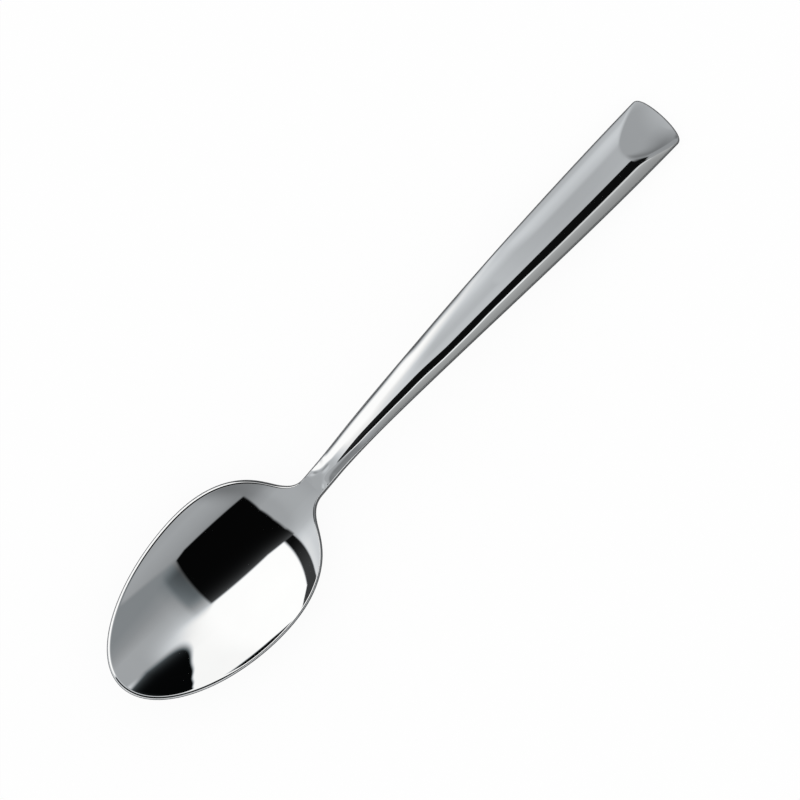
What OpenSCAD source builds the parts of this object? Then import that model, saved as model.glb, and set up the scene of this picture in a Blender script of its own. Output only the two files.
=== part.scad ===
// Dessert spoon in polished stainless steel, lying on a table with its hollow up.
// The real spoon is one stamping. It is drawn as three solids, bowl, neck and handle,
// which meet face to face on two square cuts.
// Stations run along the spoon from the tip of the bowl to the end of the handle.
// +X points to the handle and +Z is up. The origin lies on the table at mid length.

/* [Overall] */
// Length from the tip of the bowl to the end of the handle
spoon_l = 180; // [165:1:200]

/* [Bowl outline] */
// Width across the rim
bowl_w = 37.2; // [32:0.2:42]
// Length from the tip to the shoulders
bowl_l = 57.5; // [52:0.5:64]
// Station of the widest place
bowl_widest_s = 34.6; // [32:0.2:40]
// Fullness of the outline at the tip, where 2 is an ellipse
tip_fullness = 1.9; // [1.7:0.05:2.3]
// Fullness of the shoulders, where 2 is an ellipse
shoulder_fullness = 2.25; // [1.7:0.05:2.6]
// Reach of the fillet from the shoulders into the neck
shoulder_fillet = 5.6; // [4:0.2:8]

/* [Bowl section] */
// Station of the lowest place of the hollow
hollow_low_s = 34; // [30:0.5:38]
// Radius of the hollow across the spoon, at its lowest place
hollow_across_r = 22; // [16:0.5:26]
// Radius of the hollow along the spoon, at its lowest place
hollow_along_r = 47; // [40:1:70]
// Length of the heel, where the hollow turns up into the neck before the shoulders
heel_lead_in = 3.5; // [2:0.25:6]
// Wall of the bowl, measured upright
bowl_wall = 1.7; // [1.3:0.1:2.4]
// Rounding on both edges of the rim
rim_r = 0.6; // [0.2:0.05:0.65]

/* [Neck] */
// Width at the narrowest place
neck_w = 6; // [5:0.1:8]
// Thickness on the centre line
neck_t = 3.4; // [2.6:0.1:4.2]
// Rise of the top from its edges to the centre line
neck_crown = 0.5; // [0.2:0.1:1.2]
// Swell of the underside from its edges to the centre line
neck_belly = 0.5; // [0:0.1:0.6]
// Length from the shoulders to where the handle starts to widen
neck_l = 12.7; // [9:0.1:18]
// Length of the neck past that place
neck_lead_out = 5; // [2:0.5:10]
// Length before the heel over which the wall starts to thicken
wall_lead_in = 8; // [4:1:14]
// Length of the neck's own section before the handle starts to widen
throat_l = 4; // [2.5:0.5:6]
// Length before that place where the section starts to turn into the handle's
spread_lead_in = 2; // [0:0.5:2.5]

/* [Handle] */
// Width at the end
handle_end_w = 14.2; // [11:0.1:17]
// Delay of the widening towards the end, where 1 is none
flare_delay = 1.18; // [1:0.01:1.5]
// Thickness on the centre line
handle_t = 3; // [2.8:0.1:3.8]
// Rise of the top from its edges to the centre line, at the end
handle_crown = 1.2; // [0.4:0.1:1.8]
// Rounding on the long edges
handle_edge_r = 0.4; // [0.1:0.05:0.45]
// Height of the top above the table at the top of the arch
arch_h = 14.8; // [11:0.2:22]
// Length from the shoulders to the top of the arch
arch_run = 33; // [28:1:50]
// Length past the arch to the handle's full thickness
thick_lead_out = 10; // [4:1:20]
// Length past the arch to the handle's full crown
crown_lead_out = 20; // [8:1:30]
// Slope of the handle at its end, in degrees
tail_angle = 8.5; // [4:0.5:18]

/* [Handle end] */
// Length over which the end rounds off
end_round = 2.7; // [1:0.1:5]
// Fullness of the end, where 2 is an ellipse
end_fullness = 3; // [2:0.1:5]
// Length of the flat fan pressed into the top at the end
fan_l = 12.5; // [8:0.5:22]
// Slope of the fan below the handle where it starts, in degrees
fan_angle = 7; // [3:0.25:10]

/* [Hidden] */

// Square cuts between the three solids
bowl_cut_s = bowl_l + shoulder_fillet;
neck_cut_s = bowl_l + neck_l + neck_lead_out;

// Stations of the centre line
heel_s = bowl_l - heel_lead_in;
neck_s = bowl_l + neck_l;
arch_s = bowl_l + arch_run;
fan_s = spoon_l - fan_l;
end_s = spoon_l - end_round;

// Stations between which one section turns into the next
wall_swell_s = heel_s - wall_lead_in;
throat_s = neck_s - throat_l;
spread_s = neck_s - spread_lead_in;
full_t_s = arch_s + thick_lead_out;
full_crown_s = arch_s + crown_lead_out;

// Curvatures across the spoon, positive where the middle is low
hollow_bend = 1 / hollow_across_r;
neck_top_bend = -8 * neck_crown / pow(neck_w, 2);
neck_back_bend = 8 * neck_belly / pow(neck_w, 2);
// Slope of the handle's top at its long edges, the same all along the handle
edge_slope = -4 * handle_crown / handle_end_w;

// Curvature of the centre line at the top of the arch, and its height at the end,
// where the rounded lower edge of the handle touches the table
arch_bend = -2 * (arch_h - handle_t) / pow(spoon_l - arch_s, 2);
end_lift = handle_edge_r * (tan(tail_angle) * (1 - sin(tail_angle)) + 1 - cos(tail_angle));
end_z = handle_t - end_lift;

// Rings and columns of the lofts
tip_rings = 20;
shoulder_rings = 26;
neck_rings = 8;
handle_rings = 24;
fan_rings = 9;
end_rings = 8;
top_columns = 17;
edge_shares = [0.5, 0.15, 0];
widest_edge_share = 0.6;
// Sharpness of the soft corner between the shoulders and the neck
corner_power = 5;
// Smallest width of the first and last ring, and the step for slopes
nose_s = 0.03;
slope_step = 0.01;

function mix(a, b, t) = a + (b - a) * t;
function clamp01(t) = min(max(t, 0), 1);

// Step from 0 at a to 1 at b, level in slope and curvature at both ends
function ease(a, b, s) =
    let (t = clamp01((s - a) / (b - a)))
    pow(t, 3) * (t * (6 * t - 15) + 10);

// Lower of a and b with a soft corner of reach k
function soft_min(a, b, k) =
    min(a, b) - pow(max(k - abs(a - b), 0) / k, corner_power) * k / (2 * corner_power);

// Superellipse quadrant, 1 at t = 0 and 0 at t = 1
function quadrant(t, fullness) = sqrt(max(1 - pow(clamp01(t), fullness), 0));

// Curve of length d from height z0 to z1, with slopes m and curvatures c at its ends
function rise(t, d, z0, m0, c0, z1, m1, c1) =
    let (t3 = pow(t, 3), t4 = pow(t, 4), t5 = pow(t, 5))
    z0 * (1 - 10 * t3 + 15 * t4 - 6 * t5)
    + m0 * d * (t - 6 * t3 + 8 * t4 - 3 * t5)
    + c0 * d * d * (t * t - 3 * t3 + 3 * t4 - t5) / 2
    + z1 * (10 * t3 - 15 * t4 + 6 * t5)
    + m1 * d * (-4 * t3 + 7 * t4 - 3 * t5)
    + c1 * d * d * (t3 - 2 * t4 + t5) / 2;

// Half width of the neck and the handle, without and with the rounded end
function flare_half(s) =
    let (t = clamp01((s - neck_s) / (spoon_l - neck_s)))
    mix(neck_w, handle_end_w, sin(90 * pow(t, flare_delay))) / 2;
function handle_half(s) = flare_half(s) * quadrant((s - end_s) / end_round, end_fullness);

// Half width of the whole spoon
function half_width(s) =
    let (
        run = soft_min(s, bowl_l, shoulder_fillet) - bowl_widest_s,
        side = quadrant(run / (bowl_l - bowl_widest_s), shoulder_fullness)
    )
    s < bowl_widest_s
        ? bowl_w / 2 * quadrant((bowl_widest_s - s) / bowl_widest_s, tip_fullness)
        : mix(handle_half(s), bowl_w / 2, side);

function width_slope(s) =
    (half_width(s + slope_step) - half_width(s - slope_step)) / (2 * slope_step);

// Height of the top on the centre line
function hollow_z(s) = bowl_wall + pow(s - hollow_low_s, 2) / (2 * hollow_along_r);
function centre_z(s) =
    let (
        heel_slope = (heel_s - hollow_low_s) / hollow_along_r,
        neck_d = arch_s - heel_s,
        handle_d = spoon_l - arch_s
    )
    s < heel_s ? hollow_z(s)
    : s < arch_s ? rise((s - heel_s) / neck_d, neck_d, hollow_z(heel_s), heel_slope,
        1 / hollow_along_r, arch_h, 0, arch_bend)
    : rise((s - arch_s) / handle_d, handle_d, arch_h, 0, arch_bend, end_z, -tan(tail_angle), 0);

// Thickness on the centre line, and the curvatures of the top and the underside
function centre_t(s) =
    mix(mix(bowl_wall, neck_t, ease(wall_swell_s, throat_s, s)), handle_t, ease(spread_s, full_t_s, s));
function top_bend(s) =
    mix(mix(hollow_bend, neck_top_bend, ease(bowl_l, throat_s, s)), edge_slope / flare_half(s),
        ease(spread_s, full_crown_s, s));
function back_bend(s) =
    mix(mix(hollow_bend, neck_back_bend, ease(bowl_l, throat_s, s)), 0,
        ease(spread_s, full_crown_s, s));

// Rounding of the edges at a station, and the drop that it makes at distance e from the edge
function edge_r(s) = mix(rim_r, handle_edge_r, ease(heel_s, neck_s, s));
function edge_distance(s, y) =
    let (w = half_width(s), steep = w * width_slope(s))
    (w * w - y * y) / (2 * max(sqrt(steep * steep + y * y), slope_step));
function edge_drop(s, y) =
    let (r = edge_r(s), e = min(max(edge_distance(s, y), 0), r))
    r - sqrt(r * r - pow(r - e, 2));

// Depth of the fan below the centre line of the handle, level with it in slope at the end
function fan_drop(s) =
    let (d = max(s - fan_s, 0))
    tan(fan_angle) * (d - d * d / (2 * fan_l));

// The crowned top, cut by the fan near the end
function top_z(s, y) =
    let (
        crown = centre_z(s) + top_bend(s) * y * y / 2,
        fan = centre_z(s) - fan_drop(s)
    )
    (s < fan_s ? crown : min(crown, fan)) - edge_drop(s, y);
function back_z(s, y) =
    centre_z(s) - centre_t(s) + back_bend(s) * y * y / 2 + edge_drop(s, y);

// Places of the columns across a ring, as shares of the half width
function columns(s) =
    let (
        w = half_width(s),
        rounded = edge_r(s) * sqrt(1 + pow(width_slope(s), 2)) / w,
        edge = min(rounded, widest_edge_share),
        side = [for (share = edge_shares) 1 - share * edge],
        last = len(side) - 1
    )
    concat(
        [for (i = [0 : last]) -side[last - i]],
        [for (i = [0 : top_columns - 1]) (1 - edge) * (2 * i / (top_columns - 1) - 1)],
        side
    );

// Closed ring at a station: along the top to the left edge, and back along the underside
function ring(s) =
    let (
        w = half_width(s),
        shares = columns(s),
        n = len(shares)
    )
    concat(
        [for (v = shares) [s - spoon_l / 2, v * w, top_z(s, v * w)]],
        [for (i = [n - 1 : -1 : 0]) [s - spoon_l / 2, shares[i] * w, back_z(s, shares[i] * w)]]
    );

// Solid through a row of rings, closed at both ends by strips from top to underside
module loft(stations) {
    rings = [for (s = stations) ring(s)];
    n = len(rings[0]);
    m = len(rings);
    walls = [
        for (i = [0 : m - 2], j = [0 : n - 1])
            let (k = (j + 1) % n, a = i * n, b = a + n)
            each [[a + j, b + k, b + j], [a + j, a + k, b + k]]
    ];
    caps = [
        for (j = [0 : n / 2 - 2])
            let (k = n - 1 - j, z = (m - 1) * n)
            each [
                [j, k - 1, j + 1], [j, k, k - 1],
                [z + j, z + j + 1, z + k - 1], [z + j, z + k - 1, z + k]
            ]
    ];
    polyhedron(points = [for (r = rings) each r], faces = concat(walls, caps), convexity = 6);
}

// Even stations from a to b, and stations that close up on a rounded end
function even(a, b, n) = [for (i = [0 : n]) mix(a, b, i / n)];
function closing(a, b, n) = [for (i = [0 : n]) mix(a, b, 1 - cos(90 * i / n))];

// Hollow bowl with its rounded rim and the shoulders down to the neck
module bowl() {
    nose = [for (s = closing(0, bowl_widest_s, tip_rings)) max(s, nose_s)];
    shoulders = even(bowl_widest_s, bowl_cut_s, shoulder_rings);
    color("silver") loft(concat(nose, [for (i = [1 : shoulder_rings]) shoulders[i]]));
}

// Round-backed neck that climbs out of the bowl
module neck() {
    color("gainsboro") loft(even(bowl_cut_s, neck_cut_s, neck_rings));
}

// Arched handle, crowned on top and flat underneath, with the fan at its end
module handle() {
    arch = even(neck_cut_s, fan_s, handle_rings);
    fan = even(fan_s, end_s, fan_rings);
    tail = [for (i = [end_rings - 1 : -1 : 0]) spoon_l - end_round * (1 - cos(90 * i / end_rings))];
    color("lightgray") loft(concat(
        arch,
        [for (i = [1 : fan_rings]) fan[i]],
        [for (s = tail) min(s, spoon_l - nose_s)]
    ));
}

bowl();
neck();
handle();
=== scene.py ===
"""Dessert spoon in mirror-polished stainless steel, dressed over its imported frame.

The spoon is one smooth skin over a plan outline. It is delivered as three pieces that take the places
of the frame's bowl, neck and handle and meet on the same two square cuts. Stations run along the spoon
from the tip of the bowl to the end of the handle. Sizes of the spoon are in millimetres, and the meshes
are in metres in the frame's own axes.
"""
import logging
import math
from dataclasses import dataclass
from enum import Enum
from typing import Any, Mapping, Optional, Sequence, Union

import bmesh
import bpy
from mathutils import Matrix, Vector


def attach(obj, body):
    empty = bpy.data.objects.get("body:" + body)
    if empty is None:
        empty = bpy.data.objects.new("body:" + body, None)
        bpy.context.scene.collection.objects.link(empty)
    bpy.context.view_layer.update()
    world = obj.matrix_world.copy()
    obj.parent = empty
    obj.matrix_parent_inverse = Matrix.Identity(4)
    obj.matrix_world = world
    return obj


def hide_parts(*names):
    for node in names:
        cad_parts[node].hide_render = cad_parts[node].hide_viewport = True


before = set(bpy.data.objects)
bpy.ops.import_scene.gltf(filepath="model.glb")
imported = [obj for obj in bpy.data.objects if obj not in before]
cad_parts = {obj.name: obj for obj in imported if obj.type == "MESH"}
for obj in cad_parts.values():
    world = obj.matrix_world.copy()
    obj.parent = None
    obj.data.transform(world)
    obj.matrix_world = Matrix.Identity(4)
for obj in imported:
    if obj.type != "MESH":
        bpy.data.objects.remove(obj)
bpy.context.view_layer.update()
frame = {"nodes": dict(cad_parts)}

LOG = logging.getLogger("dessert_spoon")
MM = 0.001
HALF_TURN = 180.0
TOP_LEVEL = 2.0
WHITE = (1.0, 1.0, 1.0)
BOWL_BLACK = 0.0025
BODY = "root"

Colour = tuple[float, float, float]
Span = tuple[float, float]
Stops = tuple[tuple[float, float], ...]


def mix(low: float, high: float, share: float) -> float:
    """Blend two numbers by a share from 0 to 1."""
    return low + (high - low) * share


def ease(start: float, stop: float, place: float) -> float:
    """Step from 0 at start to 1 at stop, level in slope and curvature at both ends."""
    t = min(max((place - start) / (stop - start), 0.0), 1.0)
    return t ** 3 * (t * (6.0 * t - 15.0) + 10.0)


def soft_min(a: float, b: float, reach: float) -> float:
    """Lower of two numbers, with a soft corner where they are within reach of each other."""
    return min(a, b) - (max(reach - abs(a - b), 0.0) / reach) ** 5 * reach / 10.0


def quadrant(t: float, fullness: float) -> float:
    """Superellipse quadrant, 1 at t = 0 and 0 at t = 1."""
    return math.sqrt(max(1.0 - min(max(t, 0.0), 1.0) ** fullness, 0.0))


@dataclass(frozen=True)
class CurveEnd:
    """Height, slope and curvature at one end of a centre-line curve."""

    height: float
    slope: float
    bend: float


def rise(t: float, run: float, start: CurveEnd, stop: CurveEnd) -> float:
    """Height along a smooth curve between two ends.

    Args:
        t: Share of the run, from 0 to 1.
        run: Length of the curve along the spoon.
        start: What the curve has where t is 0.
        stop: What the curve has where t is 1.

    Returns:
        The height at t.
    """
    t3, t4, t5 = t ** 3, t ** 4, t ** 5
    return (
        start.height * (1.0 - 10.0 * t3 + 15.0 * t4 - 6.0 * t5)
        + start.slope * run * (t - 6.0 * t3 + 8.0 * t4 - 3.0 * t5)
        + start.bend * run ** 2 * (t ** 2 - 3.0 * t3 + 3.0 * t4 - t5) / 2.0
        + stop.height * (10.0 * t3 - 15.0 * t4 + 6.0 * t5)
        + stop.slope * run * (-4.0 * t3 + 7.0 * t4 - 3.0 * t5)
        + stop.bend * run ** 2 * (t3 - 2.0 * t4 + t5) / 2.0
    )


@dataclass(frozen=True)
class SpoonForm:
    """The spoon's surfaces as heights over its plan, in millimetres."""

    length: float = 180.0
    bowl_width: float = 37.2
    bowl_length: float = 57.5
    widest: float = 34.6
    tip_fullness: float = 1.9
    shoulder_fullness: float = 2.25
    shoulder_fillet: float = 5.6
    heel_lead: float = 3.5
    hollow_low: float = 34.0
    hollow_across_r: float = 22.0
    hollow_along_r: float = 47.0
    bowl_wall: float = 1.7
    rim_round: float = 0.65
    right_round: float = 0.42
    rim_change: float = 6.0
    tip_rim: float = 14.0
    side_rim: float = 26.0
    neck_width: float = 5.85
    neck_thick: float = 3.4
    neck_crown: float = 0.5
    neck_belly: float = 0.5
    neck_length: float = 12.7
    neck_lead_out: float = 5.0
    neck_sway: float = 0.38
    end_width: float = 14.2
    flare_delay: float = 1.18
    handle_thick: float = 3.0
    handle_crown: float = 1.2
    edge_round: float = 0.42
    cut_round: float = 0.45
    arch_height: float = 14.8
    arch_run: float = 33.0
    tail_angle: float = 8.5
    end_round: float = 2.7
    end_fullness: float = 3.0
    fan_length: float = 12.5
    fan_angle: float = 7.0
    fan_crease: float = 0.25
    right_crease: float = 0.7
    fan_bow: float = 0.45
    crease_run: float = 4.0
    wall_swell: float = 8.0
    turn_delay: float = 4.8
    throat_lead: float = 1.3
    spread_lead: float = 2.0
    full_thick_run: float = 10.0
    full_crown_run: float = 20.0
    slope_step: float = 0.002

    @property
    def heel(self) -> float:
        """Station where the hollow turns up into the neck."""
        return self.bowl_length - self.heel_lead

    @property
    def bowl_cut(self) -> float:
        """Station of the cut between bowl and neck."""
        return self.bowl_length + self.shoulder_fillet

    @property
    def neck_end(self) -> float:
        """Station where the handle starts to widen."""
        return self.bowl_length + self.neck_length

    @property
    def neck_cut(self) -> float:
        """Station of the cut between neck and handle."""
        return self.neck_end + self.neck_lead_out

    @property
    def turn(self) -> float:
        """Station where the hollow's section starts to turn into the neck's."""
        return self.bowl_length + self.turn_delay

    @property
    def throat(self) -> float:
        """Station where the neck has its own section."""
        return self.neck_end - self.throat_lead

    @property
    def spread(self) -> float:
        """Station where the neck's section starts to turn into the handle's."""
        return self.neck_end - self.spread_lead

    @property
    def arch(self) -> float:
        """Station of the top of the arch."""
        return self.bowl_length + self.arch_run

    @property
    def fan(self) -> float:
        """Station where the fan starts."""
        return self.length - self.fan_length

    @property
    def end(self) -> float:
        """Station where the end starts to round off."""
        return self.length - self.end_round

    def flare_half(self, s: float) -> float:
        """Half width of the neck and the handle at a station, without the rounded end."""
        t = min(max((s - self.neck_end) / (self.length - self.neck_end), 0.0), 1.0)
        return mix(self.neck_width, self.end_width, math.sin(math.pi / 2.0 * t ** self.flare_delay)) / 2.0

    def handle_half(self, s: float) -> float:
        """Half width of the neck and the handle at a station."""
        return self.flare_half(s) * quadrant((s - self.end) / self.end_round, self.end_fullness)

    def sway(self, s: float) -> float:
        """Sideways set of the neck, which eases out along the handle."""
        return -self.neck_sway * ease(self.heel, self.turn, s) * (1.0 - ease(self.bowl_length, self.arch, s))

    def half_width(self, s: float) -> float:
        """Half width of the whole spoon.

        Args:
            s: Station.

        Returns:
            The half width at the station.
        """
        half = self.bowl_width / 2.0
        if s < self.widest:
            return half * quadrant((self.widest - s) / self.widest, self.tip_fullness)
        run = soft_min(s, self.bowl_length, self.shoulder_fillet) - self.widest
        side = quadrant(run / (self.bowl_length - self.widest), self.shoulder_fullness)
        return mix(self.handle_half(s), half, side)

    def outline_pull(self, s: float) -> float:
        """Half the slope of the squared half width along the spoon, which stays finite at both ends."""
        low, high = max(s - self.slope_step, 0.0), min(s + self.slope_step, self.length)
        return (self.half_width(high) ** 2 - self.half_width(low) ** 2) / (2.0 * (high - low))

    def hollow_height(self, s: float) -> float:
        """Height of the hollow on the centre line."""
        return self.bowl_wall + (s - self.hollow_low) ** 2 / (2.0 * self.hollow_along_r)

    def centre_height(self, s: float) -> float:
        """Height of the top on the centre line.

        Args:
            s: Station.

        Returns:
            The height at the station.
        """
        if s < self.heel:
            return self.hollow_height(s)
        tail_run = self.length - self.arch
        arch_bend = -2.0 * (self.arch_height - self.handle_thick) / tail_run ** 2
        top = CurveEnd(self.arch_height, 0.0, arch_bend)
        if s < self.arch:
            run = self.arch - self.heel
            slope = (self.heel - self.hollow_low) / self.hollow_along_r
            heel = CurveEnd(self.hollow_height(self.heel), slope, 1.0 / self.hollow_along_r)
            return rise((s - self.heel) / run, run, heel, top)
        tail = CurveEnd(self.handle_thick, -math.tan(math.radians(self.tail_angle)), 0.0)
        return rise((s - self.arch) / tail_run, tail_run, top, tail)

    def centre_thick(self, s: float) -> float:
        """Thickness on the centre line."""
        neck = mix(self.bowl_wall, self.neck_thick, ease(self.heel - self.wall_swell, self.throat, s))
        return mix(neck, self.handle_thick, ease(self.spread, self.arch + self.full_thick_run, s))

    def bend(self, s: float, neck: float, handle: float) -> float:
        """Curvature across the spoon, from the hollow's through the neck's to the handle's."""
        throat = mix(1.0 / self.hollow_across_r, neck, ease(self.turn, self.throat, s))
        return mix(throat, handle, ease(self.spread, self.arch + self.full_crown_run, s))

    def top_bend(self, s: float) -> float:
        """Curvature of the top across the spoon.

        Args:
            s: Station.

        Returns:
            The curvature, negative where the middle is high.
        """
        neck = -8.0 * self.neck_crown / self.neck_width ** 2
        edge_slope = -4.0 * self.handle_crown / self.end_width
        return self.bend(s, neck, edge_slope / self.flare_half(s))

    def back_bend(self, s: float) -> float:
        """Curvature of the underside across the spoon."""
        return self.bend(s, 8.0 * self.neck_belly / self.neck_width ** 2, 0.0)

    def edge_radius(self, s: float, y: float = 0.0) -> float:
        """How far in from the outline the rounding of the edge reaches.

        Args:
            s: Station.
            y: Distance to the left of the centre line.

        Returns:
            The reach, tighter along the right rim of the bowl.
        """
        right = ease(0.0, self.rim_change, -y) * ease(self.tip_rim, self.side_rim, s)
        rim = mix(self.rim_round, self.right_round, right)
        waist = mix(rim, self.cut_round, ease(self.heel, self.bowl_cut, s))
        return mix(waist, self.edge_round, ease(self.bowl_cut, self.neck_end, s))

    def fan_drop(self, s: float) -> float:
        """Depth of the fan below the centre line of the handle, level with it in slope at the end."""
        run = s - self.fan
        return math.tan(math.radians(self.fan_angle)) * (run - run * run / (2.0 * self.fan_length))

    def faces(self, s: float, y: float) -> tuple[float, float]:
        """Heights of the top and the underside before the edge is rounded.

        Args:
            s: Station.
            y: Distance to the left of the centre line.

        Returns:
            The height of the top and the height of the underside.
        """
        centre = self.centre_height(s)
        top = centre + self.top_bend(s) * y * y / 2.0
        if s > self.fan - self.end_round:
            soft = mix(self.fan_crease, self.right_crease, ease(0.0, self.crease_run, -y))
            bow = self.fan_bow * max(s - self.fan, 0.0) / self.fan_length
            top = soft_min(top, centre - self.fan_drop(s) + bow * (top - centre), soft)
        return top, centre - self.centre_thick(s) + self.back_bend(s) * y * y / 2.0

    def heights(self, s: float, y: float) -> tuple[float, float]:
        """Heights of the top and the underside with the edge fully rounded.

        Args:
            s: Station.
            y: Distance to the left of the centre line.

        Returns:
            The height of the top and the height of the underside, equal on the outline.
        """
        top, back = self.faces(s, y)
        reach = self.edge_radius(s, y)
        out_s, out_y = -self.outline_pull(s), y
        steep = max(math.hypot(out_s, out_y), self.slope_step)
        inset = max((self.half_width(s) ** 2 - y * y) / (2.0 * steep), 0.0)
        if inset >= 2.0 * reach:
            return top, back
        ds, dy = out_s / steep * self.slope_step, out_y / steep * self.slope_step
        outer, inner = self.faces(s + ds, y + dy), self.faces(s - ds, y - dy)
        top_slope, back_slope = ((a - b) / (2.0 * self.slope_step) for a, b in zip(outer, inner))
        half = (top - back + (top_slope - back_slope) * (inset - reach)) / 2.0
        arc = math.sqrt(max(1.0 - (1.0 - inset / reach) ** 2, 0.0))
        if inset < reach * (1.0 + top_slope * reach / half):
            bulge = math.sqrt(half ** 2 - (top_slope * reach) ** 2) * arc
            top -= top_slope * (reach - inset) + half - bulge
        if inset < reach * (1.0 - back_slope * reach / half):
            bulge = math.sqrt(half ** 2 - (back_slope * reach) ** 2) * arc
            back += back_slope * (inset - reach) + half - bulge
        return top, back


@dataclass(frozen=True)
class RingPlan:
    """How finely the skin is divided along and around the spoon."""

    tip_rings: int = 90
    shoulder_step: float = 0.4
    shaft_step: float = 1.0
    fan_step: float = 0.3
    end_rings: int = 44
    cut_step: float = 0.04
    inner_columns: int = 46
    edge_columns: int = 16
    edge_sweep: float = 135.0
    widest_edge_share: float = 0.7

    def even(self, start: float, stop: float, step: float) -> list[float]:
        """Stations about one step apart, without the first."""
        count = max(round((stop - start) / step), 1)
        return [mix(start, stop, i / count) for i in range(1, count + 1)]

    def stations(self, form: SpoonForm) -> list[float]:
        """Every station of the spoon, from the tip to the end.

        Args:
            form: The spoon's form.

        Returns:
            Rising stations, close together at both ends and beside the cuts.
        """
        nose = [form.widest * (1.0 - math.cos(math.pi / 2.0 * i / self.tip_rings))
                for i in range(self.tip_rings + 1)]
        shaft = (
            self.even(form.widest, form.bowl_cut, self.shoulder_step)
            + self.even(form.bowl_cut, form.neck_cut, self.shoulder_step)
            + self.even(form.neck_cut, form.fan - form.end_round, self.shaft_step)
            + self.even(form.fan - form.end_round, form.end, self.fan_step)
        )
        tail = [form.end + form.end_round * math.sin(math.pi / 2.0 * i / self.end_rings)
                for i in range(1, self.end_rings + 1)]
        beside = [cut + side * self.cut_step for cut in (form.bowl_cut, form.neck_cut) for side in (-1, 1)]
        return sorted(nose + shaft + tail + beside)

    def columns(self, form: SpoonForm, s: float) -> list[float]:
        """Places across the spoon from the right edge to the left, as shares of the half width.

        Args:
            form: The spoon's form.
            s: Station.

        Returns:
            Rising shares from -1 to 1, close together on the rounded edges.
        """
        half = max(form.half_width(s), form.slope_step)
        sweep = math.radians(self.edge_sweep)
        slant = math.hypot(1.0, form.outline_pull(s) / half) / half
        turns = [1.0 - math.cos(sweep * i / self.edge_columns) for i in range(self.edge_columns)]
        widest = 1.0 - math.cos(sweep)
        limit = self.widest_edge_share / widest
        right, left = (min(form.edge_radius(s, y) * slant, limit) for y in (-half, half))
        low, high = right * widest - 1.0, 1.0 - left * widest
        inner = [mix(low, high, i / self.inner_columns) for i in range(self.inner_columns + 1)]
        right_edge = [right * turn - 1.0 for turn in turns]
        left_edge = [1.0 - left * turn for turn in reversed(turns)]
        return right_edge + inner + left_edge

    def ring(self, form: SpoonForm, s: float) -> list[Vector]:
        """Closed ring of the skin at a station, along the top and back along the underside.

        Args:
            form: The spoon's form.
            s: Station.

        Returns:
            Points in metres in the frame's axes, with the first repeated at the end.
        """
        x = (s - form.length / 2.0) * MM
        half, sway = form.half_width(s), form.sway(s)
        places = [share * half for share in self.columns(form, s)]
        heights = [form.heights(s, y) for y in places]
        top = [Vector((x, (y + sway) * MM, high * MM)) for y, (high, _) in zip(places, heights)]
        back = [Vector((x, (y + sway) * MM, low * MM)) for y, (_, low) in zip(places, heights)]
        return top + back[-2::-1]


SocketValue = Union["Value", float, Sequence[float]]


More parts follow.
